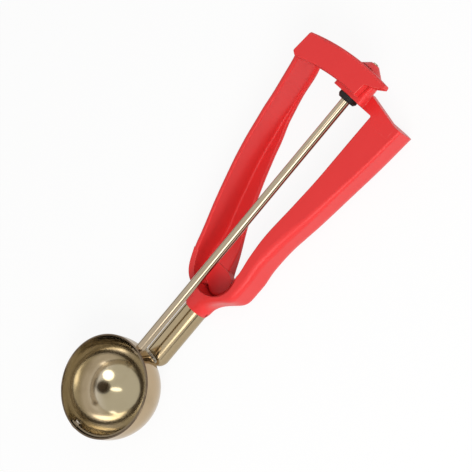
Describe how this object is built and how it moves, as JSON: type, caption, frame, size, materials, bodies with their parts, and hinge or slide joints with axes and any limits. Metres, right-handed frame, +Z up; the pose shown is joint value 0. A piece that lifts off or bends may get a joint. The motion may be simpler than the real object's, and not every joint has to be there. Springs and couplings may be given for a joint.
{
  "type": "lever ice cream scoop",
  "caption": "Round-bowled metal ice cream scoop with a sweeping scraper blade, worked by squeezing a sprung plastic lever whose curved rack turns the rod.",
  "frame": {"origin": "middle of the bounding box's underside, on the surface that the scoop lies on", "axes": "+X along the drive rod from the bowl to the head of the handle, +Y towards the squeeze lever, +Z up out of the bowl's mouth"},
  "size_m": [0.2338, 0.0678, 0.0353],
  "materials": {
    "polished_steel": "polished",
    "weld_steel": "as welded, lightly polished",
    "pin_steel": "satin",
    "spring_wire": "drawn wire",
    "red_plastic": "moulded, semi-gloss",
    "black_plastic": "moulded"
  },
  "bodies": {
    "handle": {"bowl": "polished_steel", "stem_tube": "polished_steel", "stem_weld": "weld_steel", "fixed_handle": "red_plastic", "rod_bushing": "black_plastic", "return_spring": "spring_wire"},
    "lever": {"squeeze_lever": "red_plastic", "hinge_pin": "pin_steel"},
    "rod": {"drive_rod": "polished_steel", "scraper_blade": "polished_steel", "tip_pivot": "pin_steel", "pinion": "black_plastic"}
  },
  "joints": [
    {"name": "lever_swing", "type": "hinge", "parent": "handle", "child": "lever", "pos_m": [-0.0167, -0.0039, 0.006], "axis": [0, 0, 1], "range_deg": [-8.9, 0], "stiffness_Nm_per_rad": 3, "springref_deg": 17.19, "deforming": ["return_spring"]},
    {"name": "rod_spin", "type": "hinge", "parent": "handle", "child": "rod", "pos_m": [0, -0.0039, 0.0263], "axis": [1, 0, 0], "range_deg": [0, 180]}
  ],
  "couplings": [
    {"joint": "rod_spin", "follows": "lever_swing", "ratio": -20.133}
  ]
}
